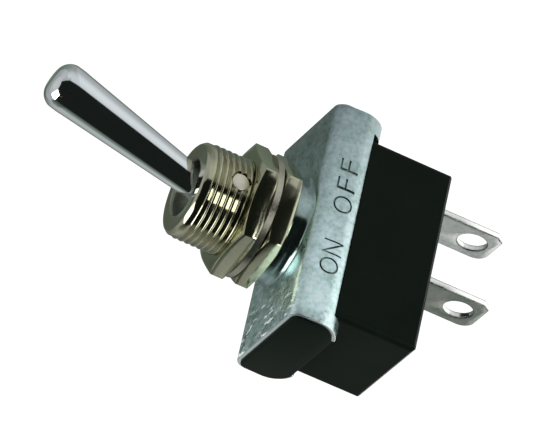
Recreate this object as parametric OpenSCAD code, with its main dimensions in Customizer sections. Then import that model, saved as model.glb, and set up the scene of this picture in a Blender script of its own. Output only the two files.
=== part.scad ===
// Panel toggle switch, single pole, two positions, with a threaded bushing and two solder lugs.
// Z = 0 is the front face of the frame plate and the Z axis is the bushing's axis, towards the lever.
// X runs along the frame towards the OFF end, and the lever is drawn leaning that way, at its OFF stop.

/* [Frame] */
// Length of the frame along X
frame_l = 29.6; // [28:0.1:32]
// Width of the frame over its two flanges
frame_w = 15.6; // [15.2:0.1:17]
// Thickness of the sheet
sheet_t = 0.8; // [0.6:0.05:0.9]
// Outer radius of the bends along the flanges
bend_r = 1.4; // [1:0.1:2]
// Depth of the flanges below the plate's front face
flange_h = 5.2; // [4.4:0.1:5.6]
// Width of each holding tab along X
tab_w = 2.2; // [1.8:0.1:2.4]
// Inner radius of the curled holding tabs
tab_r = 2.4; // [1.8:0.1:2.6]
// Height of the drawn boss round the bushing
boss_h = 1.4; // [1:0.1:1.8]
// Radius of the boss at its foot
boss_r = 6.35; // [6.2:0.05:6.35]
// Length of the small punched slot
slot_l = 1.5; // [1:0.1:2]
// Width of the small punched slot
slot_w = 0.6; // [0.4:0.1:0.8]

/* [Bushing and nuts] */
// Crest diameter of the bushing's thread
thread_d = 11.906; // [11.8:0.002:12]
// Pitch of the thread
thread_pitch = 0.794; // [0.7:0.002:0.9]
// Length of the bushing above the boss
bushing_l = 11.95; // [11.5:0.05:13]
// Radius of the shoulder that the rear nut seats on
collar_r = 6.3; // [6.15:0.05:6.3]
// Height of that shoulder
collar_h = 0.7; // [0.5:0.1:1]
// Radius of the chamber that the lever's ball turns in
bushing_bore_r = 3.85; // [3.8:0.05:4]
// Radius of the throat that holds the ball in
throat_r = 3.4; // [3.3:0.02:3.44]
// Height of the lead chamfer on the front end
lead_h = 0.6; // [0.4:0.05:0.9]
// Size of the nuts across their flats
nut_flats = 14.29; // [13.8:0.01:15]
// Thickness of each nut
nut_t = 2.3; // [2:0.1:2.5]
// Thickness of the lock washer
washer_t = 0.75; // [0.5:0.05:0.9]
// Outer radius of the lock washer
washer_r = 7.55; // [7.3:0.05:7.7]
// Number of inner teeth on the lock washer
washer_teeth = 12; // [8:1:16]

/* [Lever] */
// Height of the pivot above the front nut
pivot_rise = 1.45; // [1.4:0.01:1.6]
// Distance from the pivot to the tip of the lever
lever_l = 24.2; // [20:0.1:28]
// Radius of the bat near its tip
lever_tip_r = 2.85; // [2.5:0.05:3.4]
// Radius of the bat where it enters the bushing
lever_base_r = 1.9; // [1.7:0.05:2]
// Radius of the ball that turns on the pivot pin
ball_r = 3.6; // [3.5:0.05:3.7]
// Radius of the lever's tail below the ball
tail_r = 2.0; // [1.9:0.02:2.1]
// Distance from the pivot to the end of the tail
tail_l = 12.0; // [11:0.1:12.4]
// Tilt of the lever from upright at each stop, in degrees
lever_tilt = 15.5; // [13:0.1:15.5]
// Radius of the pivot pin
pivot_pin_r = 1.1; // [0.9:0.05:1.15]
// Depth of each end of the pin below the thread's crest
pin_recess = 0.7; // [0.4:0.05:0.8]

/* [Case] */
// Length of the deep part of the case
case_l = 24.3; // [24:0.1:24.3]
// Offset of the deep part towards the ON end
case_shift = 0.4; // [0:0.05:0.4]
// Width of the deep part of the case
case_w = 14.8; // [14.4:0.1:15]
// Depth of the case below the plate's front face
case_depth = 15.95; // [15.6:0.05:18]
// Thickness of the case's end walls
end_wall = 1.7; // [1.4:0.1:1.8]
// Thickness of the case's long walls
side_wall = 2.0; // [1.6:0.1:2.2]
// Thickness of the case's floor
floor_t = 2.4; // [2:0.1:2.8]
// Radius of the case's upright corners
case_corner_r = 0.8; // [0.4:0.1:1.2]
// Width of the bevel round the case's rear face
case_bevel = 0.4; // [0.2:0.1:0.6]
// Thickness of the insulating card
card_t = 0.3; // [0.2:0.05:0.5]

/* [Terminals] */
// Thickness of the terminal strip
lug_t = 0.8; // [0.6:0.05:0.9]
// Width of the solder lugs
lug_w = 6.1; // [5:0.1:6.4]
// Length of the lugs beyond the case
lug_l = 9.9; // [8:0.1:11]
// Radius of the wire hole in each lug
lug_hole_r = 1.8; // [1.4:0.05:2]
// Distance from the lug's tip to the centre of its hole
lug_hole_in = 2.9; // [2.6:0.1:3.2]
// Distance between the two lugs along X
lug_pitch = 9.4; // [9.2:0.1:9.5]

/* [Contacts] */
// Throw of the rocker between its two positions, in degrees
rocker_throw = 16; // [14:0.5:16]
// Width of the rocker along Y
rocker_w = 5.0; // [4.6:0.1:5.4]
// Thickness of the rocker
rocker_t = 0.7; // [0.6:0.05:0.8]
// Length of the rocker along X
rocker_l = 18.8; // [18:0.1:19]
// Radius of the contact faces
contact_r = 1.4; // [1.2:0.05:1.6]
// Radius of the plunger and of its round tip
plunger_r = 1.3; // [1.2:0.02:1.34]
// Distance from the pivot to the centre of the plunger's tip
plunger_reach = 13.7; // [13.6:0.05:13.9]

/* [Hidden] */
$fn = 96;
fine = 0.01;
half_l = frame_l / 2;
half_w = frame_w / 2;
thread_r = thread_d / 2;
root_depth = 0.33 * thread_pitch;
core_r = thread_r - root_depth;
bore_gap = 0.05;

// heights along the bushing
boss_under = boss_h - sheet_t;
neck_r = 5.6;
stake_r = 6.0;
stake_h = 0.5;
rear_nut_z = boss_h + collar_h;
washer_z = rear_nut_z + nut_t;
front_nut_z = washer_z + washer_t;
nuts_end = front_nut_z + nut_t;
bushing_top = boss_h + bushing_l;
pivot_z = nuts_end + pivot_rise;
pin_hole_r = pivot_pin_r + 0.02;
pin_l = 2 * (thread_r - pin_recess);

// frame and case
flange_in = half_w - sheet_t;
shoulder_z = -(tab_r + 3.5);
tab_centre_z = shoulder_z + tab_r;
case_top = -(sheet_t + card_t);
head_l = frame_l - 0.4;
case_bottom = -case_depth;
floor_z = case_bottom + floor_t;
cavity_l = case_l - 2 * end_wall;
cavity_w = case_w - 2 * side_wall;
slot_fit = 0.02;

// lever
lever_taper = (lever_tip_r - lever_base_r);
chamber_r = plunger_r + bore_gap;
chamber_top = 4.3;

// rocker
rocker_rest = rocker_throw / 2;
rocker_drop = 2.5;
rocker_z = pivot_z - plunger_reach - rocker_drop;
track_gap = 0.12;
// the plunger's tip seen from the rocker at the stop, which sets the curve of the rocker's track
tip_x = -plunger_reach * sin(lever_tilt);
tip_z = pivot_z - rocker_z - plunger_reach * cos(lever_tilt);
track_x = tip_x * cos(rocker_rest) + tip_z * sin(rocker_rest);
track_z = tip_z * cos(rocker_rest) - tip_x * sin(rocker_rest);
track_rise = track_z - rocker_drop;
path_r = (track_x * track_x + track_rise * track_rise) / (2 * track_rise);
track_r = path_r + plunger_r + track_gap;
track_centre = rocker_drop + path_r;
track_half = 3.9;
arm_z = track_centre - sqrt(track_r * track_r - track_half * track_half);
ear_t = 0.6;
ear_y = rocker_w / 2 - ear_t / 2 - 0.2;
ear_r = 0.6;
seat_gap = 0.05;
contact_x = 7.2;
button_h = 0.6;
tail_h = 0.35;
shank_r = 0.7;
dome_r = 4;
// height of the moving contact's face when the rocker is closed
face_drop = contact_x * sin(rocker_rest) - (arm_z - rocker_t - button_h) * cos(rocker_rest);
fixed_top = rocker_z - face_drop - 0.12;
end_foot_z = fixed_top - button_h;
cradle_t = 0.6;
// the moulded stop under the rocker's free arm at the OFF position
stop_x = 8.4;
stop_w = 4.4;
under_z = arm_z - rocker_t;
stop_z = rocker_z - 0.12 + under_z * cos(rocker_rest)
    - sin(rocker_rest) * (stop_x - under_z * sin(rocker_rest)) / cos(rocker_rest);
cradle_base_z = floor_z + lug_t + cradle_t;
cradle_back = 2;
cradle_front = 4.2;
cradle_ear_half = 1.8;
cradle_lip = 0.1;
rivet_x = 2.7;

// --- helpers ---

// A rectangle centred on the origin with round corners
module round_rect(l, w, r) {
    union() {
        square([l - 2 * r, w], center = true);
        square([l, w - 2 * r], center = true);
        for (sx = [-1, 1], sy = [-1, 1])
            translate([sx * (l / 2 - r), sy * (w / 2 - r)]) circle(r);
    }
}

// Stands a YZ outline up and gives it a length along X, centred at x
module along_x(x, length) {
    translate([x - length / 2, 0, 0]) rotate([90, 0, 90]) linear_extrude(length) children();
}

// Places the lever's own pieces, which are drawn upright about the pivot
module at_lever() {
    translate([0, 0, pivot_z]) rotate([0, lever_tilt, 0]) children();
}

// Places the rocker's own pieces, which are drawn level about its knife edge
module at_rocker() {
    translate([0, 0, rocker_z]) rotate([0, -rocker_rest, 0]) children();
}

// --- frame ---

// Quarter of a ring in the YZ outline, from its outer to its inner radius
module quarter_ring(outer, inner, turn) {
    rotate(turn) intersection() {
        difference() { circle(outer); circle(inner); }
        square(outer + 1);
    }
}

// The channel's section: a plate with a bend and a flange on each side
module channel_outline() {
    translate([-(half_w - bend_r), -sheet_t]) square([2 * (half_w - bend_r), sheet_t]);
    for (side = [0, 1]) mirror([side, 0]) {
        translate([half_w - bend_r, -bend_r]) quarter_ring(bend_r, bend_r - sheet_t, 0);
        translate([flange_in, -flange_h]) square([sheet_t, flange_h - bend_r]);
    }
}

// The tab's section: it runs on from the flange and curls under the case's shoulder
module tab_outline() {
    for (side = [0, 1]) mirror([side, 0]) {
        translate([flange_in, tab_centre_z]) square([sheet_t, -tab_centre_z - bend_r]);
        translate([flange_in - tab_r, tab_centre_z]) quarter_ring(tab_r + sheet_t, tab_r, -90);
    }
}

module frame() color([0.66, 0.70, 0.69]) difference() {
    union() {
        difference() {
            along_x(0, frame_l) channel_outline();
            for (s = [-1, 1]) translate([s * (half_l - tab_w / 2), 0, -flange_h])
                cube([tab_w + fine, frame_w + 1, 2 * (flange_h + tab_centre_z)], center = true);
        }
        for (s = [-1, 1]) along_x(s * (half_l - tab_w / 2), tab_w) tab_outline();
        boss();
    }
    translate([0, 0, -sheet_t - 1]) cylinder(boss_h + sheet_t + 2, r = neck_r + 0.02);
    boss_hollow();
    translate([-half_l + 2.4, half_w - bend_r - slot_w / 2 - 0.1, -sheet_t / 2])
        cube([slot_l, slot_w, sheet_t + 1], center = true);
}

// The boss is drawn up out of the plate with a round shoulder
boss_edge = 0.7;
module boss() {
    rotate_extrude() union() {
        translate([0, -sheet_t]) square([boss_r, sheet_t]);
        square([boss_r - boss_edge, boss_h]);
        translate([boss_r - boss_edge, boss_h - boss_edge]) circle(boss_edge);
        translate([0, -sheet_t]) square([boss_r, sheet_t + boss_h - boss_edge]);
    }
}

module boss_hollow() {
    translate([0, 0, -sheet_t - 1]) cylinder(1 + sheet_t + boss_under, r = stake_r + 0.1);
}

// --- bushing, nuts and washer ---

throat_z = bushing_top - 1.95;
mouth_r = throat_r + 0.6;
crest_z = nuts_end + 0.45;
tail_bore_r = 4.75;

module bushing() color([0.62, 0.60, 0.52]) difference() {
    rotate_extrude() difference() {
        polygon([
            [0, boss_under - stake_h], [stake_r, boss_under - stake_h], [stake_r, boss_under],
            [neck_r, boss_under], [neck_r, boss_h], [collar_r, boss_h], [collar_r, rear_nut_z],
            [core_r, rear_nut_z], [core_r, crest_z], [thread_r, crest_z],
            [thread_r, bushing_top - lead_h], [thread_r - lead_h, bushing_top], [0, bushing_top]
        ]);
        polygon([
            [-1, boss_under - stake_h - 1], [tail_bore_r, boss_under - stake_h - 1],
            [tail_bore_r, boss_under - stake_h], [bushing_bore_r, pivot_z - 3],
            [bushing_bore_r, throat_z - 1], [throat_r, throat_z - 0.6], [throat_r, throat_z],
            [mouth_r, bushing_top], [mouth_r, bushing_top + 1],
            [-1, bushing_top + 1]
        ]);
    }
    translate([0, 0, pivot_z]) rotate([90, 0, 0]) cylinder(3 * thread_r, r = pin_hole_r, center = true);
    for (s = [-1, 1]) translate([0, s * (pin_l / 2 + 2), pivot_z])
        rotate([90, 0, 0]) cylinder(4, r = pin_hole_r + 0.14, center = true);
}

// A hexagon nut, chamfered on both faces, with its first corner turned to the given angle
nut_chamfer = 0.5;
module hex_nut(turn) {
    corner_r = nut_flats / (2 * cos(30));
    face_r = nut_flats / 2 - 0.1;
    difference() {
        intersection() {
            rotate(turn) cylinder(nut_t, r = corner_r, $fn = 6);
            rotate_extrude() polygon([
                [0, 0], [face_r, 0], [corner_r + 0.05, nut_chamfer],
                [corner_r + 0.05, nut_t - nut_chamfer], [face_r, nut_t], [0, nut_t]
            ]);
        }
        translate([0, 0, -1]) cylinder(nut_t + 2, r = core_r + 0.01);
    }
}

module rear_nut() color([0.60, 0.58, 0.50]) translate([0, 0, rear_nut_z]) hex_nut(44.8);
module front_nut() color([0.60, 0.58, 0.50]) translate([0, 0, front_nut_z]) hex_nut(41.7);

module lock_washer() color([0.70, 0.68, 0.60]) translate([0, 0, washer_z]) linear_extrude(washer_t)
    difference() {
        union() {
            difference() { circle(washer_r); circle(washer_r - 0.8); }
            for (k = [0 : washer_teeth - 1]) rotate(k * 360 / washer_teeth)
                translate([core_r - 0.2, -0.6]) square([washer_r - core_r - 0.2, 1.2]);
        }
        circle(core_r + 0.15);
    }

// --- lever and what moves with it ---

module pivot_pin() color([0.72, 0.70, 0.60]) translate([0, 0, pivot_z])
    rotate([90, 0, 0]) cylinder(pin_l, r = pivot_pin_r, center = true);

tip_edge = 2.2;
module lever() color([0.80, 0.82, 0.84]) at_lever() difference() {
    rotate_extrude() union() {
        polygon([
            [0, 0], [lever_base_r, 0], [lever_base_r, 4], [lever_tip_r, lever_l - tip_edge - 0.4],
            [lever_tip_r, lever_l - tip_edge], [0, lever_l - tip_edge]
        ]);
        intersection() {
            translate([lever_tip_r - tip_edge, lever_l - tip_edge]) circle(tip_edge);
            translate([0, lever_l - tip_edge]) square([lever_tip_r, tip_edge]);
        }
        translate([0, lever_l - tip_edge]) square([lever_tip_r - tip_edge, tip_edge]);
        intersection() {
            circle(ball_r);
            translate([0, -ball_r]) square([ball_r, 2 * ball_r]);
        }
        translate([0, -tail_l]) square([tail_r, tail_l]);
    }
    translate([0, 0, -tail_l - 1]) cylinder(1 + tail_l - chamber_top, r = chamber_r);
    rotate([90, 0, 0]) cylinder(3 * ball_r, r = pivot_pin_r + bore_gap, center = true);
}

plunger_shoulder = 9.6;
stem_r = 0.55;
module plunger() color([0.90, 0.88, 0.80]) at_lever() {
    translate([0, 0, -plunger_reach]) cylinder(plunger_reach - plunger_shoulder, r = plunger_r);
    translate([0, 0, -plunger_reach]) sphere(plunger_r);
    translate([0, 0, -plunger_shoulder]) cylinder(2, r = stem_r);
}

// The spring is a wire swept along a helix, with eight sides to the wire
spring_mean_r = 0.98;
spring_wire_r = 0.17;
spring_turns = 7;
spring_steps = 16;
spring_sides = 8;
spring_low = plunger_shoulder - 0.5 - spring_wire_r;
spring_high = chamber_top + 0.1 + spring_wire_r;
function helix_point(i) =
    let (n = spring_turns * spring_steps, a = 360 * i / spring_steps)
    [spring_mean_r * cos(a), spring_mean_r * sin(a), -spring_low + (spring_low - spring_high) * i / n];
function wire_ring(i) =
    let (c = helix_point(i), a = 360 * i / spring_steps)
    [for (k = [0 : spring_sides - 1])
        let (b = 360 * k / spring_sides)
        c + spring_wire_r * [cos(b) * cos(a), cos(b) * sin(a), sin(b)]];
module lever_spring() color([0.75, 0.76, 0.78]) at_lever() {
    n = spring_turns * spring_steps;
    m = spring_sides;
    points = [for (i = [0 : n], p = wire_ring(i)) p];
    sides = [for (i = [0 : n - 1], k = [0 : m - 1])
        [i * m + k, i * m + (k + 1) % m, (i + 1) * m + (k + 1) % m, (i + 1) * m + k]];
    polyhedron(points, concat([[for (k = [m - 1 : -1 : 0]) k]], sides, [[for (k = [0 : m - 1]) n * m + k]]));
}

// --- case and card ---

// the lever's tail swings in a long hole through the card
card_slot_x = 3;
card_slot_r = 4.8;

module insulator_card() color([0.30, 0.22, 0.16]) translate([0, 0, case_top]) linear_extrude(card_t)
    difference() {
        square([head_l, 2 * (half_w - bend_r)], center = true);
        union() {
            square([2 * card_slot_x, 2 * card_slot_r], center = true);
            for (s = [-1, 1]) translate([s * card_slot_x, 0]) circle(card_slot_r);
        }
    }

// The head's section, with the rounded lower corners that the tabs curl round
module head_outline() {
    w = flange_in - slot_fit;
    r = tab_r - slot_fit;
    union() {
        polygon([
            [-w, shoulder_z + r], [-w, case_top - 0.6], [-w + 0.6, case_top],
            [w - 0.6, case_top], [w, case_top - 0.6], [w, shoulder_z + r]
        ]);
        translate([-(w - r), shoulder_z + slot_fit]) square([2 * (w - r), r]);
        for (s = [-1, 1]) translate([s * (w - r), shoulder_z + slot_fit + r]) circle(r);
    }
}

module terminal_slot(x) {
    translate([x, 0, case_bottom]) cube([lug_t + 2 * slot_fit, inner_w + 2 * slot_fit, 3 * floor_t], center = true);
}

inner_w = 4.4;
module case() color([0.07, 0.10, 0.08]) difference() {
    union() {
        along_x(0, head_l) head_outline();
        translate([-case_shift, 0, case_bottom]) linear_extrude(case_depth - flange_h - 0.1)
            round_rect(case_l, case_w, case_corner_r);
    }
    translate([-case_shift, 0, 0]) difference() {
        translate([0, 0, floor_z]) linear_extrude(case_depth) round_rect(cavity_l, cavity_w, 1);
        translate([case_shift - stop_x, -stop_w / 2, floor_z - 1]) cube([2, stop_w, stop_z - floor_z + 1]);
    }
    terminal_slot(0);
    terminal_slot(lug_pitch);
    translate([rivet_x, 0, floor_z - 0.6]) cylinder(1, r = 1.3);
    case_bevels();
}

// The bevel round the rear face
module case_bevels() {
    for (s = [-1, 1]) {
        translate([0, s * case_w / 2, case_bottom]) rotate([45, 0, 0])
            cube([case_l + 2, case_bevel * sqrt(2), case_bevel * sqrt(2)], center = true);
        translate([s * case_l / 2 - case_shift, 0, case_bottom]) rotate([0, 45, 0])
            cube([case_bevel * sqrt(2), case_w + 2, case_bevel * sqrt(2)], center = true);
    }
}

// --- contacts and terminals ---

// The rocker's side view: a round track between two level arms
module rocker_outline() {
    difference() {
        union() {
            intersection() {
                translate([0, track_centre]) circle(track_r + rocker_t);
                translate([-track_half, 0]) square([2 * track_half, arm_z - rocker_t / 2]);
            }
            translate([-rocker_l / 2, arm_z - rocker_t]) square([rocker_l, rocker_t]);
        }
        translate([0, track_centre]) circle(track_r);
    }
}

module rocker() color([0.72, 0.50, 0.30]) at_rocker() difference() {
    union() {
        rotate([90, 0, 0]) linear_extrude(rocker_w, center = true) rocker_outline();
        for (s = [-1, 1]) translate([0, s * ear_y, 0]) rotate([90, 0, 0]) linear_extrude(ear_t, center = true)
            union() {
                circle(ear_r);
                translate([-ear_r, 0]) square([2 * ear_r, track_centre - track_r - 0.2]);
            }
    }
    translate([contact_x, 0, arm_z - rocker_t - 1]) cylinder(3, r = shank_r);
}

module moving_contact() color([0.85, 0.85, 0.82]) at_rocker() translate([contact_x, 0, arm_z]) {
    translate([0, 0, -rocker_t]) cylinder(rocker_t, r = shank_r);
    cylinder(tail_h, r = shank_r + 0.4);
    translate([0, 0, -rocker_t - button_h]) intersection() {
        cylinder(button_h, r = contact_r);
        translate([0, 0, dome_r]) sphere(dome_r);
    }
}

module fixed_contact() color([0.85, 0.85, 0.82]) translate([contact_x, 0, end_foot_z]) {
    cylinder(button_h, r = contact_r);
    translate([0, 0, -lug_t]) cylinder(lug_t, r = shank_r);
    translate([0, 0, -lug_t - tail_h]) cylinder(tail_h, r = shank_r + 0.4);
}

module rocker_cradle() color([0.74, 0.56, 0.34]) difference() {
    union() {
        translate([0, 0, cradle_base_z - cradle_t]) linear_extrude(cradle_t) translate([-cradle_back, -rocker_w / 2])
            square([cradle_back + cradle_front, rocker_w]);
        for (s = [-1, 1]) translate([0, s * ear_y, 0]) rotate([90, 0, 0]) linear_extrude(ear_t, center = true)
            translate([-cradle_ear_half, cradle_base_z - cradle_t])
                square([2 * cradle_ear_half, rocker_z + cradle_lip - cradle_base_z + cradle_t]);
    }
    translate([0, 0, rocker_z]) rotate([90, 0, 0]) linear_extrude(rocker_w + 1, center = true) union() {
        circle(ear_r + seat_gap);
        polygon([[-ear_r - seat_gap, 0], [-ear_r - 0.6, 1], [ear_r + 0.6, 1], [ear_r + seat_gap, 0]]);
    }
    translate([rivet_x, 0, cradle_base_z - cradle_t - 1]) cylinder(3, r = shank_r);
}

module common_rivet() color([0.78, 0.74, 0.58]) translate([rivet_x, 0, 0]) {
    translate([0, 0, floor_z]) cylinder(cradle_base_z - floor_z, r = shank_r);
    translate([0, 0, cradle_base_z]) cylinder(0.5, r = shank_r + 0.5);
    translate([0, 0, floor_z - 0.5]) cylinder(0.5, r = shank_r + 0.5);
}

// A solder lug's outline in the YZ plane, from inside the case to its tip
lug_corner = 1.4;
module lug_outline(top) {
    tip = case_bottom - lug_l;
    difference() {
        union() {
            translate([-lug_w / 2, tip + lug_corner]) square([lug_w, lug_l - lug_corner]);
            translate([-(lug_w / 2 - lug_corner), tip]) square([lug_w - 2 * lug_corner, lug_l]);
            for (s = [-1, 1]) translate([s * (lug_w / 2 - lug_corner), tip + lug_corner]) circle(lug_corner);
            translate([-inner_w / 2, tip + lug_l - 1]) square([inner_w, top - tip - lug_l + 1]);
        }
        translate([0, tip + lug_hole_in]) circle(lug_hole_r);
    }
}

module common_terminal() color([0.62, 0.65, 0.63]) difference() {
    union() {
        along_x(0, lug_t) lug_outline(floor_z + lug_t);
        translate([-lug_t / 2, -inner_w / 2, floor_z]) cube([rivet_x + 1.5 + lug_t / 2, inner_w, lug_t]);
    }
    translate([rivet_x, 0, floor_z - 1]) cylinder(3, r = shank_r);
}

module end_terminal() color([0.62, 0.65, 0.63]) difference() {
    union() {
        along_x(lug_pitch, lug_t) lug_outline(end_foot_z);
        translate([contact_x - 1.6, -inner_w / 2, end_foot_z - lug_t])
            cube([lug_pitch + lug_t / 2 - contact_x + 1.6, inner_w, lug_t]);
    }
    translate([contact_x, 0, end_foot_z - 2]) cylinder(3, r = shank_r);
}

frame();
bushing();
rear_nut();
lock_washer();
front_nut();
pivot_pin();
lever();
lever_spring();
plunger();
insulator_card();
case();
rocker();
moving_contact();
fixed_contact();
rocker_cradle();
common_rivet();
common_terminal();
end_terminal();
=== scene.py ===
# A panel toggle switch: a chromed bat lever in a threaded bushing, two nuts and a washer, a folded
# steel frame, a black moulded case and two solder lugs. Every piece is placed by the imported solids.
import math

import bpy
from mathutils import Matrix, Vector


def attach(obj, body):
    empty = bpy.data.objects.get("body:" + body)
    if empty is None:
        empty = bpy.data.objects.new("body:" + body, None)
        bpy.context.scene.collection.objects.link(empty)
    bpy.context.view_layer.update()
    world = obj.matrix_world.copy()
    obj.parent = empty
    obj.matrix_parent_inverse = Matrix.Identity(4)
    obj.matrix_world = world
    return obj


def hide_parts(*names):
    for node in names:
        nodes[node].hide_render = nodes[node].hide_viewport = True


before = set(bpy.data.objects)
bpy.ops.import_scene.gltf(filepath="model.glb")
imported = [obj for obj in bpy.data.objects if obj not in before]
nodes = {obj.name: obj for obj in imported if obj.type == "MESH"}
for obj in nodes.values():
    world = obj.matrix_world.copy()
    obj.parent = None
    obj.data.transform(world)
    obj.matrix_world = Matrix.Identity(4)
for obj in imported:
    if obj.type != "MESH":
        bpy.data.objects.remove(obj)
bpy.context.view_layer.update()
MM = 0.001

# ---------------------------------------------------------------- Camera
# A long lens, a little above the level of the frame's plate, turned so that the lever points up and
# to the left.
sight_right = Vector((0.1905, -0.4449, -0.8751))
sight_up = Vector((0.8330, -0.3985, 0.3839))
sight_back = Vector((-0.5195, -0.8020, 0.2947))
bpy.ops.object.camera_add(location=(-0.3730, -0.5782, 0.2143))
camera = bpy.context.object
camera.name = "camera"
camera.matrix_world = Matrix.Translation(camera.location) @ Matrix(
    (sight_right, sight_up, sight_back)
).transposed().to_4x4()
camera.data.sensor_width = 36
camera.data.lens = 407.8735
camera.data.clip_end = 20
bpy.context.scene.camera = camera
bpy.context.scene.view_settings.view_transform = "Standard"

# ---------------------------------------------------------------- Studio
# A pale floor in an even white room, with a softbox overhead and one to the left. Mirrors see a grey
# room instead, with a stack of round screens in it that nothing else sees.
WHITE = (1, 1, 1, 1)
FLOOR_H, FLOOR_PAINT, FLOOR_GLOW = -0.16, (0.8, 0.8, 0.8, 1), 0.45
LAMP_AIM = Vector((0, 0, 0.005))


def feed(tree, node, inputs):
    """Gives each of a node's inputs its value, or links it to the output given in its place."""
    for socket, value in inputs.items():
        if isinstance(value, bpy.types.NodeSocket):
            tree.links.new(value, node.inputs[socket])
        else:
            node.inputs[socket].default_value = value


def add_node(tree, kind, inputs=None):
    node = tree.nodes.new(kind)
    feed(tree, node, inputs or {})
    return node


def maths(tree, operation, first, second):
    """The output of a sum on two values, each a number or another output."""
    node = tree.nodes.new("ShaderNodeMath")
    node.operation = operation
    feed(tree, node, {0: first, 1: second})
    return node.outputs[0]


def mix_colours(tree, share, first, second, blend="MIX"):
    node = tree.nodes.new("ShaderNodeMix")
    node.data_type = "RGBA"
    node.blend_type = blend
    feed(tree, node, {0: share, 6: first, 7: second})
    return node.outputs[2]


def seen_directly(tree):
    """1 where a ray comes from the camera, a mirror surface or a clear one."""
    rays = add_node(tree, "ShaderNodeLightPath").outputs
    first = maths(tree, "MAXIMUM", rays["Is Camera Ray"], rays["Is Glossy Ray"])
    return maths(tree, "MAXIMUM", first, rays["Is Transmission Ray"])


world = bpy.data.worlds.new("room")
bpy.context.scene.world = world
world.use_nodes = True
room = world.node_tree
room.nodes.clear()
soft, white, grey = (
    add_node(room, "ShaderNodeBackground", {"Color": WHITE, "Strength": strength}).outputs[0]
    for strength in (0.72, 1.0, 0.6)
)
mirror_ray = add_node(room, "ShaderNodeLightPath").outputs["Is Glossy Ray"]
plain_room = add_node(room, "ShaderNodeMixShader", {0: seen_directly(room), 1: soft, 2: white}).outputs[0]
whole_room = add_node(room, "ShaderNodeMixShader", {0: mirror_ray, 1: plain_room, 2: grey}).outputs[0]
add_node(room, "ShaderNodeOutputWorld", {"Surface": whole_room})

bpy.ops.object.select_all(action="DESELECT")
bpy.ops.mesh.primitive_plane_add(size=8, location=(0, 0, FLOOR_H))
floor = bpy.context.object
floor.name = "floor"
paint = bpy.data.materials.new("pale floor")
paint.use_nodes = True
coat = paint.node_tree
coat.nodes.clear()
lift = maths(coat, "MULTIPLY", seen_directly(coat), FLOOR_GLOW)
coat_matt = add_node(coat, "ShaderNodeBsdfDiffuse", {"Color": FLOOR_PAINT}).outputs[0]
coat_glow = add_node(coat, "ShaderNodeEmission", {"Strength": lift}).outputs[0]
coat_both = add_node(coat, "ShaderNodeAddShader", {0: coat_matt, 1: coat_glow}).outputs[0]
add_node(coat, "ShaderNodeOutputMaterial", {"Surface": coat_both})
floor.data.materials.append(paint)


def softbox(name, stand, size, radiance, mirrored=True):
    """An area lamp aimed at the switch, as bright as its radiance; mirrors see it only if mirrored."""
    bpy.ops.object.light_add(type="AREA", location=stand)
    lamp = bpy.context.object
    lamp.name = name
    lamp.data.shape = "RECTANGLE"
    lamp.data.size, lamp.data.size_y = size
    lamp.data.energy = radiance * math.pi * size[0] * size[1]
    lamp.rotation_euler = (Vector(stand) - LAMP_AIM).to_track_quat("Z", "Y").to_euler()
    lamp.visible_glossy = mirrored


softbox("overhead softbox", (0.17, 0.11, 0.78), (0.45, 0.45), 1.1, mirrored=False)
softbox("left softbox", (-0.146, 0.027, 0.162), (0.15, 0.15), 3.2)

SCREEN_R = 0.25
DARK_TINT, PALE_TINT, PALE_FROM = (0.82, 1, 0.86), (0.97, 1, 1.02), 0.3
# K is the near black of the screens' dark side.
K = 0.012


def round_screen(name, foot, top, tones):
    """A round screen that only mirrors see, shaded through (compass angle, grey) from -180 to 180."""
    bpy.ops.object.select_all(action="DESELECT")
    bpy.ops.mesh.primitive_cylinder_add(
        vertices=96, radius=SCREEN_R, depth=top - foot, end_fill_type="NOTHING",
        location=(0, 0, (foot + top) / 2),
    )
    screen = bpy.context.object
    screen.name = name
    dye = bpy.data.materials.new(name)
    dye.use_nodes = True
    tree = dye.node_tree
    tree.nodes.clear()
    where = add_node(tree, "ShaderNodeTexCoord").outputs["Object"]
    around = add_node(tree, "ShaderNodeTexGradient", {"Vector": where})
    around.gradient_type = "RADIAL"
    shade = add_node(tree, "ShaderNodeValToRGB", {"Fac": around.outputs["Fac"]})
    stops = shade.color_ramp.elements
    stops.remove(stops[1])
    for count, (compass, grey) in enumerate(tones):
        stop = stops[0] if count == 0 else stops.new(0.5 + compass / 360)
        stop.position = 0.5 + compass / 360
        tint = DARK_TINT if grey < PALE_FROM else PALE_TINT
        stop.color = (grey * tint[0], grey * tint[1], grey * tint[2], 1)
    glow = add_node(tree, "ShaderNodeEmission", {"Color": shade.outputs["Color"]})
    add_node(tree, "ShaderNodeOutputMaterial", {"Surface": glow.outputs[0]})
    screen.data.materials.append(dye)
    screen.visible_camera = False
    screen.visible_diffuse = False
    screen.visible_shadow = False
    screen.visible_transmission = False
    screen.visible_volume_scatter = False


round_screen("lowest screen", -0.158, -0.11, (
    (-180, K), (-131, K), (-129, 7.0), (-102, 7.0), (-100, K), (-85, K), (-81, 0.36), (-62, 0.46),
    (-52, 0.80), (-32, 0.80), (-18, 0.46), (0, 0.42), (60, 0.38), (100, 0.30), (150, 0.20), (155, 0.10),
    (158, K), (180, K),
))
round_screen("low screen", -0.11, -0.03, (
    (-180, K), (-85, K), (-82, 0.60), (-70, 0.74), (-52, 0.78), (-36, 0.66), (-18, 0.46), (2, 0.42),
    (20, 0.26), (36, 0.16), (82, 0.16), (105, 0.40), (123, 0.52), (140, 0.40), (150, 0.36), (155, 0.34),
    (158, K), (180, K),
))
round_screen("middle screen", -0.03, 0.045, (
    (-180, K), (-85, K), (-82, 0.60), (-70, 0.66), (-52, 0.64), (-38, 0.52), (-24, 0.36), (10, 0.30),
    (40, 0.22), (85, 0.22), (100, 0.44), (125, 0.50), (138, 0.26), (150, 0.12), (156, K), (180, K),
))
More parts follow.
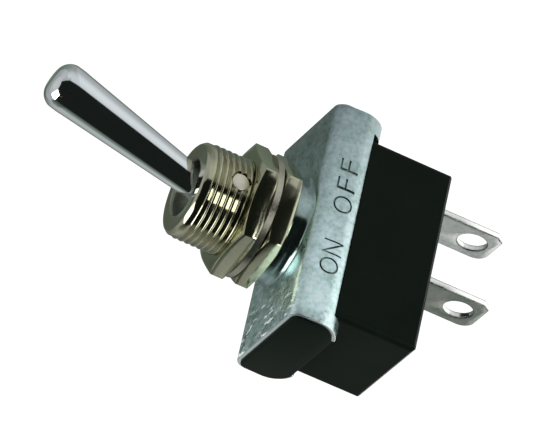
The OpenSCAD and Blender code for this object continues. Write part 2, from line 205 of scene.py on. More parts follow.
round_screen("upper screen", 0.045, 0.16, (
    (-180, K), (-85, K), (-81, 0.40), (-60, 0.70), (-40, 0.60), (-24, 0.40), (0, 0.28), (35, 0.18),
    (70, 0.13), (100, 0.30), (120, 0.45), (132, 0.20), (150, 0.08), (157, K), (180, K),
))
round_screen("high screen", 0.16, 0.44, (
    (-180, K), (-85, K), (-80, 0.42), (-50, 0.54), (-15, 0.50), (8, 0.40), (60, 0.32), (100, 0.42),
    (150, 0.45), (156, K), (180, K),
))
round_screen("top screen", 0.44, 0.95, (
    (-180, 0.56), (-88, 0.56), (-40, 0.58), (20, 0.52), (90, 0.50), (180, 0.56),
))

# ---------------------------------------------------------------- Lever
# The bat handle, its ball and its tail are turned from one brass bar and chromed. The ball sits in the
# bushing on a pin, and the tail is drilled up for the spring and the plunger.
TILT = math.radians(15.5)
pivot = Vector((0, 0, 0.0089))
NECK_R, NECK_H, BAT_GAIN, BAT_L = 1.9, 4.2, 0.95, 17.2


def deselect():
    if bpy.context.object is not None and bpy.context.object.mode != "OBJECT":
        bpy.ops.object.mode_set(mode="OBJECT")
    bpy.ops.object.select_all(action="DESELECT")


def pick(*pieces):
    """Selects these pieces alone, with the last one active."""
    deselect()
    for piece in pieces:
        piece.select_set(True)
    bpy.context.view_layer.objects.active = pieces[-1]


def turned(name, profile, sides, closed=False):
    """A round piece drawn up ring by ring from a circle; profile lists (radius, height) in millimetres.

    Its foot is capped, and its top too where the last radius is 0. A closed profile makes a hollow ring.
    """
    deselect()
    radius, height = profile[0]
    bpy.ops.mesh.primitive_circle_add(
        vertices=sides, radius=radius * MM, fill_type="NOTHING", location=(0, 0, height * MM)
    )
    piece = bpy.context.object
    piece.name = name
    bpy.ops.object.transform_apply(location=True)
    bpy.ops.object.mode_set(mode="EDIT")
    bpy.ops.mesh.select_all(action="SELECT")
    for next_radius, next_height in profile[1:]:
        bpy.ops.mesh.extrude_region_move(
            TRANSFORM_OT_translate={"value": (0, 0, (next_height - height) * MM)}
        )
        if next_radius == 0:
            bpy.ops.mesh.merge(type="CENTER")
            break
        grow = next_radius / radius
        bpy.ops.transform.resize(value=(grow, grow, 1), center_override=(0, 0, next_height * MM))
        radius, height = next_radius, next_height
    bpy.ops.mesh.select_all(action="DESELECT")
    bpy.ops.mesh.select_mode(type="EDGE")
    bpy.ops.mesh.select_non_manifold()
    if closed:
        bpy.ops.mesh.bridge_edge_loops()
    else:
        bpy.ops.mesh.edge_face_add()
    bpy.ops.mesh.select_mode(type="VERT")
    bpy.ops.mesh.select_all(action="SELECT")
    bpy.ops.mesh.normals_make_consistent(inside=False)
    bpy.ops.object.mode_set(mode="OBJECT")
    return piece


def arc(centre, radius, first, last, steps):
    """Points on part of a circle, in the (radius, height) plane, from one angle to the other in degrees."""
    return [
        (
            centre[0] + radius * math.cos(math.radians(first + (last - first) * i / steps)),
            centre[1] + radius * math.sin(math.radians(first + (last - first) * i / steps)),
        )
        for i in range(steps + 1)
    ]


def cut_away(piece, tool, mode="DIFFERENCE", carry=False):
    """Takes a tool's shape from a piece, or keeps what they share; carry leaves the tool's finish there."""
    pick(piece)
    bpy.ops.object.modifier_add(type="BOOLEAN")
    cut = piece.modifiers[-1]
    cut.operation = mode
    cut.solver = "EXACT"
    cut.object = tool
    if carry:
        cut.material_mode = "TRANSFER"
    bpy.ops.object.modifier_apply(modifier=cut.name)
    bpy.data.objects.remove(tool)


def round_edges(piece, width, angle):
    """Rounds every edge sharper than the angle, as tumbling or a worn die does."""
    pick(piece)
    bpy.ops.object.modifier_add(type="BEVEL")
    edge = piece.modifiers[-1]
    edge.width = width * MM
    edge.segments = 2
    edge.limit_method = "ANGLE"
    edge.angle_limit = math.radians(angle)
    bpy.ops.object.modifier_apply(modifier=edge.name)


def smooth(piece, angle=32):
    pick(piece)
    bpy.ops.object.shade_smooth_by_angle(angle=math.radians(angle))


def place(piece, matrix):
    """Moves a finished mesh to its place, leaving the object itself at the origin."""
    piece.matrix_world = matrix @ piece.matrix_world
    pick(piece)
    bpy.ops.object.transform_apply(location=True, rotation=True, scale=True)


def new_group(name, inputs, outputs):
    """A node group and its inputs, each a vector if its first value is a tuple; all outputs are values."""
    tree = bpy.data.node_groups.new(name, "ShaderNodeTree")
    for label, value in inputs.items():
        kind = "NodeSocketVector" if isinstance(value, tuple) else "NodeSocketFloat"
        tree.interface.new_socket(label, in_out="INPUT", socket_type=kind).default_value = value
    for label in outputs:
        tree.interface.new_socket(label, in_out="OUTPUT", socket_type="NodeSocketFloat")
    return tree, add_node(tree, "NodeGroupInput").outputs


def use_group(tree, group, inputs):
    node = tree.nodes.new("ShaderNodeGroup")
    node.node_tree = group
    feed(tree, node, inputs)
    return node.outputs


def mottle_group():
    """Patches of two sizes over a surface, as plating and casting skins show; Mask runs from 0 to 1."""
    tree, given = new_group("mottle", {
        "Vector": (0, 0, 0), "Patch scale": 300, "Grain scale": 2500, "Grain share": 0.3, "Contrast": 2,
    }, ["Mask"])
    patches = add_node(tree, "ShaderNodeTexNoise", {
        "Vector": given["Vector"], "Scale": given["Patch scale"], "Detail": 4, "Roughness": 0.6,
    })
    grain = add_node(tree, "ShaderNodeTexNoise", {
        "Vector": given["Vector"], "Scale": given["Grain scale"], "Detail": 3,
    })
    blend = add_node(tree, "ShaderNodeMix", {
        "Factor": given["Grain share"], "A": patches.outputs["Fac"], "B": grain.outputs["Fac"],
    })
    centred = maths(tree, "SUBTRACT", blend.outputs["Result"], 0.5)
    mask = maths(tree, "ADD", maths(tree, "MULTIPLY", centred, given["Contrast"]), 0.5)
    mask.node.use_clamp = True
    add_node(tree, "NodeGroupOutput", {"Mask": mask})
    return tree


def scratch_group():
    """Fine lines drawn out along one axis, as rolling, turning and wiping leave; Height runs from 0 to 1."""
    tree, given = new_group("fine scratches", {
        "Vector": (0, 0, 0), "Stretch": (1, 1, 1), "Scale": 4000,
    }, ["Height"])
    drawn_out = tree.nodes.new("ShaderNodeVectorMath")
    drawn_out.operation = "MULTIPLY"
    feed(tree, drawn_out, {0: given["Vector"], 1: given["Stretch"]})
    lines = add_node(tree, "ShaderNodeTexNoise", {
        "Vector": drawn_out.outputs[0], "Scale": given["Scale"], "Detail": 5, "Roughness": 0.65,
    })
    add_node(tree, "NodeGroupOutput", {"Height": lines.outputs["Fac"]})
    return tree


mottle = mottle_group()
scratches = scratch_group()


def finish_of(name, dark, light, rough, metallic, patch=300, grain=2500, share=0.3, contrast=2.0,
              stretch=(1, 1, 1), scratch=4000, bump=0.15, depth=0.00002, gloss=0.5):
    """A finish: two tones and two roughnesses mixed by the mottle, with fine scratches for its bump."""
    material = bpy.data.materials.new(name)
    material.use_nodes = True
    tree = material.node_tree
    where = add_node(tree, "ShaderNodeTexCoord").outputs["Object"]
    mask = use_group(tree, mottle, {
        "Vector": where, "Patch scale": patch, "Grain scale": grain, "Grain share": share,
        "Contrast": contrast,
    })["Mask"]
    lines = use_group(tree, scratches, {"Vector": where, "Stretch": stretch, "Scale": scratch})["Height"]
    polish = add_node(tree, "ShaderNodeMapRange", {"Value": mask, "To Min": rough[0], "To Max": rough[1]})
    relief = add_node(tree, "ShaderNodeBump", {"Strength": bump, "Distance": depth, "Height": lines})
    feed(tree, tree.nodes["Principled BSDF"], {
        "Base Color": mix_colours(tree, mask, (*dark, 1), (*light, 1)),
        "Metallic": metallic,
        "Roughness": polish.outputs["Result"],
        "Specular IOR Level": gloss,
        "Normal": relief.outputs["Normal"],
    })
    return material


chrome = finish_of("chrome plate", (0.80, 0.84, 0.85), (0.88, 0.92, 0.93), (0.05, 0.09), 1.0,
                   patch=220, grain=3000, share=0.25, stretch=(1, 1, 0.15), scratch=5000,
                   bump=0.05, depth=0.00001)

lever_outline = (
    [(1.36, -12.0), (1.85, -12.0), (2.0, -11.85), (2.0, -3.0)]
    + arc((0, 0), 3.6, -54, 54, 18)
    + [(1.92, 3.15), (NECK_R, 3.6), (NECK_R, NECK_H)]
    + [(NECK_R + BAT_GAIN * (h - NECK_H) / BAT_L, h) for h in (6.3, 8.5, 10.7, 12.9, 15.1, 17.3, 19.5, 20.7)]
    + [(2.86, 21.4)]
    + arc((0.95, 22.22), 1.92, 8, 90, 12)[:-1]
    + [(0.6, 24.15), (0.25, 24.16), (0, 24.16)]
)
lever = turned("lever_handle", lever_outline, 96)
spring_bore = turned("spring bore", [(1.35, -13), (1.35, -4.3), (0, -4.3)], 48)
cut_away(lever, spring_bore)
cross_bore = turned("cross bore", [(1.15, -6), (1.15, 6), (0, 6)], 48)
place(cross_bore, Matrix.Rotation(math.radians(90), 4, "X"))
cut_away(lever, cross_bore)
place(lever, Matrix.Translation(pivot) @ Matrix.Rotation(TILT, 4, "Y"))
smooth(lever)
lever.data.materials.append(chrome)
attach(lever, "lever")
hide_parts("lever")

# ---------------------------------------------------------------- Bushing
# A nickel-plated brass turning with a rolled thread, a plain lead and a chamfer at its front end, and a
# cross hole for the pivot pin. Its shoulder stands on the frame's boss, and its foot is staked below.
nickel = finish_of("nickel plate", (0.43, 0.42, 0.30), (0.58, 0.57, 0.42), (0.06, 0.12), 1.0,
                   patch=260, grain=2600, share=0.4, stretch=(1, 1, 8), scratch=2500, bump=0.05)
bore_tone = finish_of("worn bore", (0.12, 0.13, 0.10), (0.30, 0.31, 0.25), (0.22, 0.38), 0.70,
                      grain=2600, share=0.4, stretch=(1, 1, 6), scratch=2500, bump=0.10)
CREST, ROOT, PITCH, TURNS = 5.953, 5.47, 0.794, 14
THREAD_START, THREAD_FOOT, FADE_FROM, LEAD_FROM, THREAD_END = 1.5, 2.3, 12.1, 12.35, 13.0
LEAD_R, TOP = 5.78, 13.35
FADE, SUNK_AT_LEAD, SUNK_AT_FOOT = 0.9, 0.03, 0.05
BORE_R, BORE_FOOT, PIN_SHIFT = 3.9, 9.5, 0.14

bushing = turned("bushing_body", [
    (6.0, 0.1), (6.0, 0.6), (5.6, 0.62), (5.6, 2.08), *((ROOT, h) for h in (2.1, 4.0, 6.0, 8.0, 10.0, 11.9)),
    (LEAD_R - 0.08, 12.05), (LEAD_R, 12.2), (LEAD_R, 12.85), (LEAD_R - 0.04, 12.95), (LEAD_R - 0.30, 13.28),
    (LEAD_R - 0.40, TOP), (3.75, TOP), (3.62, 13.3), (3.5, 13.1), (3.42, 11.5), (3.4, 11.4), (3.4, 10.8),
    (3.85, 10.4), (3.85, 5.9), (4.75, 0.1),
], 128, closed=True)

deselect()
bpy.ops.mesh.primitive_circle_add(vertices=12, radius=MM, fill_type="NOTHING")
thread = bpy.context.object
thread.name = "bushing_thread"
flank = [
    (CREST - 0.03, 0.025), (CREST - 0.05, 0.082), (CREST - 0.087, 0.129), (CREST - 0.117, 0.1485),
    (ROOT, 0.3865), (ROOT - 0.12, 0.39),
]
ridge = [(radius, -height) for radius, height in reversed(flank)] + flank
for vertex, (radius, height) in zip(thread.data.vertices, ridge):
    vertex.co = (radius * MM, 0, (THREAD_START + height) * MM)
bpy.ops.object.modifier_add(type="SCREW")
helix = thread.modifiers[-1]
helix.axis = "Z"
helix.angle = math.radians(360)
helix.screw_offset = PITCH * MM
helix.iterations = TURNS
helix.steps = helix.render_steps = 96
bpy.ops.object.modifier_apply(modifier=helix.name)
bpy.ops.object.mode_set(mode="EDIT")
bpy.ops.mesh.select_all(action="SELECT")
bpy.ops.mesh.fill_holes(sides=14)
bpy.ops.mesh.select_all(action="SELECT")
bpy.ops.mesh.normals_make_consistent(inside=False)
bpy.ops.object.mode_set(mode="OBJECT")

# The thread fades out into the lead at its top, and its ends sink into the body.
for vertex in thread.data.vertices:
    here = math.hypot(vertex.co.x, vertex.co.y) / MM
    height = vertex.co.z / MM
    most = CREST - max(0, height - FADE_FROM) * FADE
    if height > LEAD_FROM:
        most = min(most, ROOT - SUNK_AT_LEAD)
    if height < THREAD_FOOT:
        most = ROOT - SUNK_AT_FOOT
    if here > most:
        vertex.co.x *= most / here
        vertex.co.y *= most / here
    vertex.co.z = min(vertex.co.z, THREAD_END * MM)

for shell in (bushing, thread):
    for side in (-1, 1):
        pin_seat = turned("pin seat", [(1.12, 3.0), (1.12, 5.0), (1.26, 5.01), (1.26, 7), (0, 7)], 48)
        place(pin_seat, Matrix.Translation(pivot + Vector((PIN_SHIFT * MM, 0, 0)))
              @ Matrix.Rotation(math.radians(-90 * side), 4, "X"))
        cut_away(shell, pin_seat)
pick(thread, bushing)
bpy.ops.object.join()
smooth(bushing, 28)
bushing.data.materials.append(nickel)
bushing.data.materials.append(bore_tone)
for face in bushing.data.polygons:
    if math.hypot(face.center.x, face.center.y) < BORE_R * MM and face.center.z > BORE_FOOT * MM:
        face.material_index = 1
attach(bushing, "switch_body")
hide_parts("bushing")

# ---------------------------------------------------------------- Nuts
# Two thin hexagon nuts in nickel-plated brass, chamfered on both faces. The rear one backs the panel and
# the front one tightens against it.
nut_tone = finish_of("nickel plate on the nuts", (0.46, 0.46, 0.32), (0.60, 0.60, 0.43), (0.07, 0.13), 1.0,
                     patch=200, grain=2200, share=0.35, stretch=(1, 1, 5), scratch=2600, bump=0.06)
FLATS, NUT_T = 14.29, 2.3
deselect()
bpy.ops.mesh.primitive_cylinder_add(
    vertices=6, radius=FLATS / 2 / math.cos(math.radians(30)) * MM, depth=NUT_T * MM,
    location=(0, 0, NUT_T / 2 * MM),
)
nut = bpy.context.object
bpy.ops.object.transform_apply(location=True)
cone = turned("nut chamfer", [
    (7.1, 0), (7.45, 0.05), (8.32, 0.32), (8.32, NUT_T - 0.46), (7.0, NUT_T), (0, NUT_T),
], 160)
cut_away(nut, cone, mode="INTERSECT")
tapping = turned("tapping", [
    (6.1, -0.1), (5.7, 0.3), (5.7, NUT_T - 0.3), (6.1, NUT_T + 0.1), (0, NUT_T + 0.1),
], 128)
cut_away(nut, tapping)
round_edges(nut, 0.07, 20)
for label, foot, corner in (("rear_nut", 2.1, 44.8), ("front_nut", 5.15, 41.7)):
    copy = nut.copy()
    copy.data = nut.data.copy()
    copy.name = label + "_turned"
    bpy.context.collection.objects.link(copy)
    place(copy, Matrix.Translation((0, 0, foot * MM)) @ Matrix.Rotation(math.radians(corner - 30), 4, "Z"))
    smooth(copy, 24)
    copy.data.materials.append(nut_tone)
    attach(copy, "switch_body")
    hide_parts(label)
bpy.data.objects.remove(nut)

# ---------------------------------------------------------------- Frame
# One piece of zinc-plated steel, folded along both sides, with a boss drawn up round the bushing's hole,
# a small punched slot and two stamped words. Four tabs at its ends curl in and hold the case.
zinc = finish_of("zinc plate", (0.36, 0.50, 0.46), (0.68, 0.83, 0.87), (0.24, 0.42), 1.0,
                 patch=400, grain=1900, share=0.52, contrast=3.9, stretch=(0.25, 1, 1), scratch=2200,
                 bump=0.26)
# The drawn boss is smoother than the plate, and its colour is darker as painted shade under the nuts.
drawn = finish_of("drawn zinc in painted shade", (0.22, 0.32, 0.29), (0.50, 0.63, 0.62), (0.12, 0.20), 1.0,
                  grain=1800, share=0.35, stretch=(1, 1, 4), scratch=2200, bump=0.12)
stamped = finish_of("stamped recess", (0.03, 0.05, 0.04), (0.36, 0.44, 0.43), (0.30, 0.50), 1.0,
                    patch=700, grain=1900, share=0.4, contrast=4.0, bump=0.3)
sheared_zinc = finish_of("sheared zinc edge", (0.72, 0.80, 0.78), (0.92, 0.98, 0.97), (0.22, 0.34), 1.0)


def wear_and_painted_light_group():
    """A plate's wear and painted light: Rubs are pale worn marks on its face where X is low; Painted light
    and shade lightens it at low X and darkens it toward high X, as painted shade from the nuts.
    """
    tree, given = new_group("wear_and_painted_light", {"Vector": (0, 0, 0)}, ["Rubs", "Painted light and shade"])
    slant = add_node(tree, "ShaderNodeMapping", {
        "Vector": given["Vector"], "Rotation": (0, 0, 0.6), "Scale": (1, 0.3, 1),
    })
    cloud = add_node(tree, "ShaderNodeTexNoise", {
        "Vector": slant.outputs[0], "Scale": 1300, "Detail": 5, "Roughness": 0.65,
    })
    along = add_node(tree, "ShaderNodeSeparateXYZ", {0: given["Vector"]}).outputs
    in_cloud, at_end, on_face = (
        add_node(tree, "ShaderNodeMapRange", {"Value": value, "From Min": none, "From Max": full}).outputs[0]
        for value, none, full in (
            (cloud.outputs["Fac"], 0.55, 0.64), (along["X"], -0.007, -0.012), (along["Z"], -0.0007, -0.0001),
        )
    )
    # Painted light and shade: the plate's colour is raised at low X and lowered toward high X.
    painted_light_ramp = add_node(tree, "ShaderNodeMapRange", {
        "Value": along["X"], "From Min": -0.012, "From Max": 0.014, "To Min": 1.35, "To Max": 0.62,
    })
    add_node(tree, "NodeGroupOutput", {
        "Rubs": maths(tree, "MULTIPLY", maths(tree, "MULTIPLY", in_cloud, at_end), on_face),
        "Painted light and shade": painted_light_ramp.outputs[0],
    })
    return tree


# The zinc's colour is multiplied by painted light and shade, lighter at the ON end and darker toward the
# nuts and the OFF end; pale worn rubs lie over it near the ON end.
plate = zinc.node_tree
plate_shader = plate.nodes["Principled BSDF"]
plate_tone = plate_shader.inputs["Base Color"].links[0].from_socket
wear_and_painted_light = use_group(plate, wear_and_painted_light_group(), {"Vector": add_node(plate, "ShaderNodeTexCoord").outputs["Object"]})
plate_in_painted_light = mix_colours(plate, 1, plate_tone, wear_and_painted_light["Painted light and shade"], blend="MULTIPLY")
bare = add_node(plate, "ShaderNodeMapRange", {"Value": wear_and_painted_light["Rubs"], "To Min": 1, "To Max": 0})
feed(plate, plate_shader, {
    "Base Color": mix_colours(plate, wear_and_painted_light["Rubs"], plate_in_painted_light, (0.93, 0.96, 0.94, 1)),
    "Metallic": bare.outputs[0],
})

HALF_L, SHEET, TAB, TAB_TOP, FLANGE_Y = 14.5, 0.8, 2.0, -5.2, 7.86
SLOT_X, SLOT_Y, SLOT_L, SLOT_W = -12.5, 5.6, 1.5, 0.7
END_ZONE, END_SLOPE = 0.2, 0.3
fold = (
    [(0, 0), (-2.0, 0), (-4.0, 0), (-5.6, 0)]
    + [(-y, z) for y, z in arc((6.35, -1.4), 1.4, 90, 12, 8)]
    + [(-7.78, -2.2), (-FLANGE_Y, -3.3)]
    + [(-y, z) for y, z in arc((4.6, -3.55), 3.25, 0, -80, 10)]
)


def folded_sheet(name, path, half_length):
    """Half of a folded sheet: an edge as long as the frame, drawn out through the fold's points (y, z)."""
    deselect()
    bpy.ops.mesh.primitive_plane_add(size=2 * half_length * MM)
    sheet = bpy.context.object
    sheet.name = name
    bpy.ops.object.mode_set(mode="EDIT")
    bpy.ops.mesh.select_all(action="DESELECT")
    bpy.ops.object.mode_set(mode="OBJECT")
    for vertex in sheet.data.vertices:
        vertex.select = vertex.co.y < 0
    bpy.ops.object.mode_set(mode="EDIT")
    bpy.ops.mesh.delete(type="VERT")
    bpy.ops.mesh.select_all(action="SELECT")
    bpy.ops.transform.translate(value=(0, (path[0][0] - half_length) * MM, path[0][1] * MM))
    for before, after in zip(path, path[1:]):
        bpy.ops.mesh.extrude_region_move(
            TRANSFORM_OT_translate={"value": (0, (after[0] - before[0]) * MM, (after[1] - before[1]) * MM)}
        )
    bpy.ops.object.mode_set(mode="OBJECT")
    return sheet


# The sheet is split at the tabs and cleared between them, then mirrored and given its thickness.
sheet = folded_sheet("frame_sheet", fold, HALF_L)
bpy.ops.object.mode_set(mode="EDIT")
for x in (TAB - HALF_L, -8, -4, 0, 4, 8, HALF_L - TAB):
    bpy.ops.mesh.select_all(action="SELECT")
    bpy.ops.mesh.bisect(plane_co=(x * MM, 0, 0), plane_no=(1, 0, 0))
bpy.ops.mesh.select_all(action="SELECT")
bpy.ops.mesh.bisect(plane_co=(0, 0, TAB_TOP * MM), plane_no=(0, 0, 1))
bpy.ops.mesh.select_all(action="DESELECT")
bpy.ops.object.mode_set(mode="OBJECT")
for face in sheet.data.polygons:
    face.select = abs(face.center.x) < (HALF_L - TAB) * MM and face.center.z < TAB_TOP * MM
bpy.ops.object.mode_set(mode="EDIT")
bpy.ops.mesh.select_mode(type="FACE")
bpy.ops.mesh.delete(type="FACE")
bpy.ops.mesh.select_mode(type="VERT")
bpy.ops.object.mode_set(mode="OBJECT")
bpy.ops.object.modifier_add(type="MIRROR")
sheet.modifiers[-1].use_axis = (False, True, False)
sheet.modifiers[-1].use_clip = True
bpy.ops.object.modifier_apply(modifier=sheet.modifiers[-1].name)
bpy.ops.object.mode_set(mode="EDIT")
bpy.ops.mesh.select_all(action="SELECT")
bpy.ops.mesh.remove_doubles(threshold=0.000001)
bpy.ops.mesh.normals_make_consistent(inside=False)
bpy.ops.object.mode_set(mode="OBJECT")
bpy.ops.object.modifier_add(type="SOLIDIFY")
sheet.modifiers[-1].thickness = SHEET * MM
sheet.modifiers[-1].offset = -1
sheet.modifiers[-1].use_even_offset = True
bpy.ops.object.modifier_apply(modifier=sheet.modifiers[-1].name)
round_edges(sheet, 0.10, 40)

bush_hole = turned("bush hole", [(6.1, -2), (6.1, 2), (0, 2)], 96)
cut_away(sheet, bush_hole)
bpy.ops.mesh.primitive_cube_add(
    size=1, location=(SLOT_X * MM, SLOT_Y * MM, 0), scale=(SLOT_L * MM, SLOT_W * MM, 3 * MM)
)
slot_punch = bpy.context.object
cut_away(sheet, slot_punch)


def stamped_letter(letter, left, width, foot, height):
    """A letter's stroke as a solid that stands through the flange's face, for stamping it in."""
    deselect()
    bpy.ops.object.text_add()
    text = bpy.context.object
    text.data.body = letter
    text.data.size = 1
    text.data.offset = -0.012
    text.data.extrude = 0.5
    bpy.ops.object.convert(target="MESH")
    low = [min(v.co[i] for v in text.data.vertices) for i in (0, 1)]
    high = [max(v.co[i] for v in text.data.vertices) for i in (0, 1)]
    across, tall = width / (high[0] - low[0]), height / (high[1] - low[1])
    place(text, Matrix.Translation((left * MM, -FLANGE_Y * MM, foot * MM))
          @ Matrix.Rotation(math.radians(90), 4, "X")
          @ Matrix.Diagonal((across * MM, tall * MM, 0.5 * MM, 1))
          @ Matrix.Translation((-low[0], -low[1], 0)))
    return text


sheet.data.materials.append(zinc)
for letter, left, width, foot, height in (
    ("O", -8.0, 2.1, -4.25, 2.4), ("N", -5.4, 1.8, -4.3, 2.45),
    ("O", 0.3, 2.2, -4.3, 2.4), ("F", 3.3, 1.6, -4.2, 2.35), ("F", 5.8, 1.6, -4.1, 2.3),
):
    stroke = stamped_letter(letter, left, width, foot, height)
    stroke.data.materials.append(stamped)
    cut_away(sheet, stroke, carry=True)
boss = turned("boss", [
    (6.1, -0.78), (6.12, -0.14), (6.98, -0.14), (6.94, -0.06), (6.80, 0.06), (6.66, 0.24), (6.56, 0.50),
    (6.50, 0.90), (6.46, 1.40), (6.36, 1.78), (6.18, 1.98), (5.95, 2.05), (5.62, 2.06), (5.62, 0.62),
    (6.08, 0.60), (6.09, -0.78),
], 128, closed=True)
boss.data.materials.append(drawn)
pick(boss, sheet)
bpy.ops.object.join()

sheet.data.materials.append(sheared_zinc)
sheared_slot = len(sheet.data.materials) - 1
for face in sheet.data.polygons:
    if abs(face.center.x) > (HALF_L - END_ZONE) * MM and abs(face.normal.x) > END_SLOPE:
        face.material_index = sheared_slot
smooth(sheet, 30)
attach(sheet, "switch_body")
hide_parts("frame")

# ---------------------------------------------------------------- Lock washer
# A flat steel washer with teeth inside, between the two nuts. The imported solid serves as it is, with
# a duller plate than the nuts'.
washer_tone = finish_of("washer plate", (0.36, 0.34, 0.27), (0.56, 0.54, 0.44), (0.22, 0.36), 1.0,
                        grain=2600, share=0.4, stretch=(1, 1, 4), scratch=3000, bump=0.12)
nodes["lock_washer"].data.materials.clear()
nodes["lock_washer"].data.materials.append(washer_tone)

# ---------------------------------------------------------------- Pivot pin
# A plain steel pin, pushed through the bushing and the lever's ball. Its ends are a little domed and
# stand just inside the thread's crests.
pin_tone = finish_of("cut steel", (0.74, 0.70, 0.55), (0.90, 0.86, 0.72), (0.35, 0.50), 1.0,
                     patch=400, grain=3500, share=0.5, bump=0.3)
pin = turned("cross_pin", [
    (0.95, -5.76), (1.04, -5.72), (1.08, -5.62), (1.08, -3.0), (1.08, 0), (1.08, 3.0), (1.08, 5.62),
    (1.04, 5.72), (0.95, 5.76), (0, 5.78),
], 48)
place(pin, Matrix.Translation(pivot) @ Matrix.Rotation(math.radians(90), 4, "X"))
smooth(pin)
pin.data.materials.append(pin_tone)
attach(pin, "switch_body")
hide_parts("pivot_pin")

# ---------------------------------------------------------------- Case
# A black phenolic moulding. Its head fills the frame, its deep part stands out behind, and a thin lip at
# each end of the head covers the frame's edge.
phenolic = finish_of("black phenolic", (0.003, 0.007, 0.004), (0.006, 0.011, 0.007), (0.34, 0.46), 0.0,
                     gloss=0.05, patch=250, grain=3000, scratch=1500, bump=0.10)
LIP_T, LIP_X = 0.5, 14.53
nodes["case"].data.materials.clear()
nodes["case"].data.materials.append(phenolic)


def slab(name, outline, thickness):
    """A flat piece across X: its outline as (y, z) points in millimetres, and its thickness about x = 0."""
    deselect()
    bpy.ops.mesh.primitive_circle_add(vertices=len(outline), radius=MM, fill_type="NGON")
    piece = bpy.context.object
    piece.name = name
    for vertex, (y, z) in zip(piece.data.vertices, outline):
        vertex.co = (-thickness / 2 * MM, y * MM, z * MM)
    bpy.ops.object.mode_set(mode="EDIT")
    bpy.ops.mesh.select_all(action="SELECT")
    bpy.ops.mesh.extrude_region_move(TRANSFORM_OT_translate={"value": (thickness * MM, 0, 0)})
    bpy.ops.mesh.select_all(action="SELECT")
    bpy.ops.mesh.normals_make_consistent(inside=False)
    bpy.ops.object.mode_set(mode="OBJECT")
    return piece


lip_side = [(5.2, -6.35)] + arc((4.6, -3.55), 2.80, -70, 0, 8) + arc((6.35, -1.45), 1.0, 5, 90, 6)
lip_outline = [(-y, z) for y, z in lip_side] + lip_side[::-1]
for label, side in (("case_lip_on", -1), ("case_lip_off", 1)):
    lip = slab(label, lip_outline, LIP_T)
    round_edges(lip, 0.10, 30)
    place(lip, Matrix.Translation((side * LIP_X * MM, 0, 0)))
    smooth(lip)
    lip.data.materials.append(phenolic)
    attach(lip, "switch_body")

# ---------------------------------------------------------------- Solder lugs
# Two tinned brass strips, one in the middle and one at the OFF end. The blanking die leaves a wire hole, one
# corner of the tip round and one cut off, and bright sheared edges; a dark band runs round each face.
LUG_FOOT, LUG_TIP, LUG_W, LUG_T = -15.5, -25.85, 6.1, 0.8
HOLE_R, HOLE_UP, CORNER_R, CUT_W, CUT_H = 1.8, 2.9, 1.6, 0.75, 0.95
EDGE_BELOW, DARK_BAND_BELOW = 0.3, 0.95
lug_outline = (
    [(-LUG_W / 2, LUG_FOOT), (LUG_W / 2, LUG_FOOT)]
    + arc((LUG_W / 2 - CORNER_R, LUG_TIP + CORNER_R), CORNER_R, 0, -90, 10)
    + [(-LUG_W / 2 + CUT_W, LUG_TIP), (-LUG_W / 2, LUG_TIP + CUT_H)]
)
sheared_tin = finish_of("sheared tin edge", (0.86, 0.87, 0.83), (0.97, 0.98, 0.95), (0.18, 0.30), 1.0,
                        patch=500, grain=3000, share=0.5, scratch=2500, bump=0.10)
# Tones for the dark band along each face's rounded edge.
dark_band = finish_of("dark band round the edge", (0.03, 0.04, 0.035), (0.40, 0.41, 0.38), (0.30, 0.50), 1.0,
                 patch=900, grain=3000, share=0.4, contrast=5.0, bump=0.3)
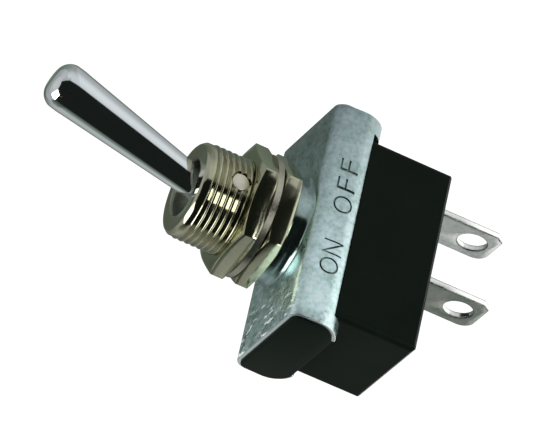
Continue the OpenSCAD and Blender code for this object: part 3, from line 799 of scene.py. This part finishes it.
# Both lugs are the same tin plate; the middle lug's darker tones are painted shade.
for label, lug_x, dark, light in (
    ("common_terminal", 0.0, (0.22, 0.28, 0.25), (0.46, 0.47, 0.40)),
    ("end_terminal", 9.4, (0.62, 0.65, 0.62), (0.92, 0.93, 0.90)),
):
    tin = finish_of("tin plate, " + label.replace("_", " "), dark, light, (0.26, 0.42), 1.0,
                    patch=420, grain=2200, share=0.4, contrast=3.2, stretch=(1, 1, 0.3), scratch=2000,
                    bump=0.2)
    lug = slab("lug_" + label, lug_outline, LUG_T)
    wire_hole = turned("wire hole", [(HOLE_R, -2), (HOLE_R, 2), (0, 2)], 64)
    place(wire_hole, Matrix.Translation((0, 0, (LUG_TIP + HOLE_UP) * MM))
          @ Matrix.Rotation(math.radians(90), 4, "Y"))
    cut_away(lug, wire_hole)
    round_edges(lug, 0.13, 40)
    place(lug, Matrix.Translation((lug_x * MM, 0, 0)))

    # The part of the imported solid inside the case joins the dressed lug.
    inner = nodes[label].copy()
    inner.data = nodes[label].data.copy()
    bpy.context.collection.objects.link(inner)
    pick(inner)
    bpy.ops.object.mode_set(mode="EDIT")
    bpy.ops.mesh.select_all(action="SELECT")
    bpy.ops.mesh.remove_doubles(threshold=0.000001)
    bpy.ops.mesh.bisect(plane_co=(0, 0, LUG_FOOT * MM), plane_no=(0, 0, 1), use_fill=True, clear_inner=True)
    bpy.ops.object.mode_set(mode="OBJECT")
    inner.data.materials.clear()
    pick(inner, lug)
    bpy.ops.object.join()
    smooth(lug)
    for tone in (tin, sheared_tin, dark_band):
        lug.data.materials.append(tone)
    for face in lug.data.polygons:
        if abs(face.normal.x) < EDGE_BELOW:
            face.material_index = 1
        elif abs(face.normal.x) < DARK_BAND_BELOW:
            face.material_index = 2
    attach(lug, "switch_body")
    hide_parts(label)

# ---------------------------------------------------------------- Inside the case
# The spring and plunger in the lever's tail, the rocker with its silver contact, the cradle it rocks in,
# and the card that keeps them clear of the frame.
spring_steel = finish_of("spring steel", (0.45, 0.46, 0.48), (0.62, 0.63, 0.65), (0.25, 0.35), 1.0)
nylon = finish_of("white nylon", (0.78, 0.76, 0.68), (0.86, 0.84, 0.77), (0.40, 0.55), 0.0, bump=0.08)
bronze = finish_of("rolled bronze", (0.62, 0.40, 0.22), (0.78, 0.55, 0.34), (0.25, 0.40), 1.0,
                   stretch=(0.2, 1, 1))
silver = finish_of("silver contact", (0.72, 0.72, 0.68), (0.86, 0.86, 0.82), (0.25, 0.40), 1.0)
fibre = finish_of("fibre card", (0.20, 0.13, 0.09), (0.30, 0.21, 0.15), (0.70, 0.85), 0.0,
                  grain=4000, share=0.6)
for name, tone in (
    ("lever_spring", spring_steel), ("plunger", nylon), ("rocker", bronze), ("rocker_cradle", bronze),
    ("common_rivet", bronze), ("moving_contact", silver), ("fixed_contact", silver),
    ("insulator_card", fibre),
):
    nodes[name].data.materials.clear()
    nodes[name].data.materials.append(tone)
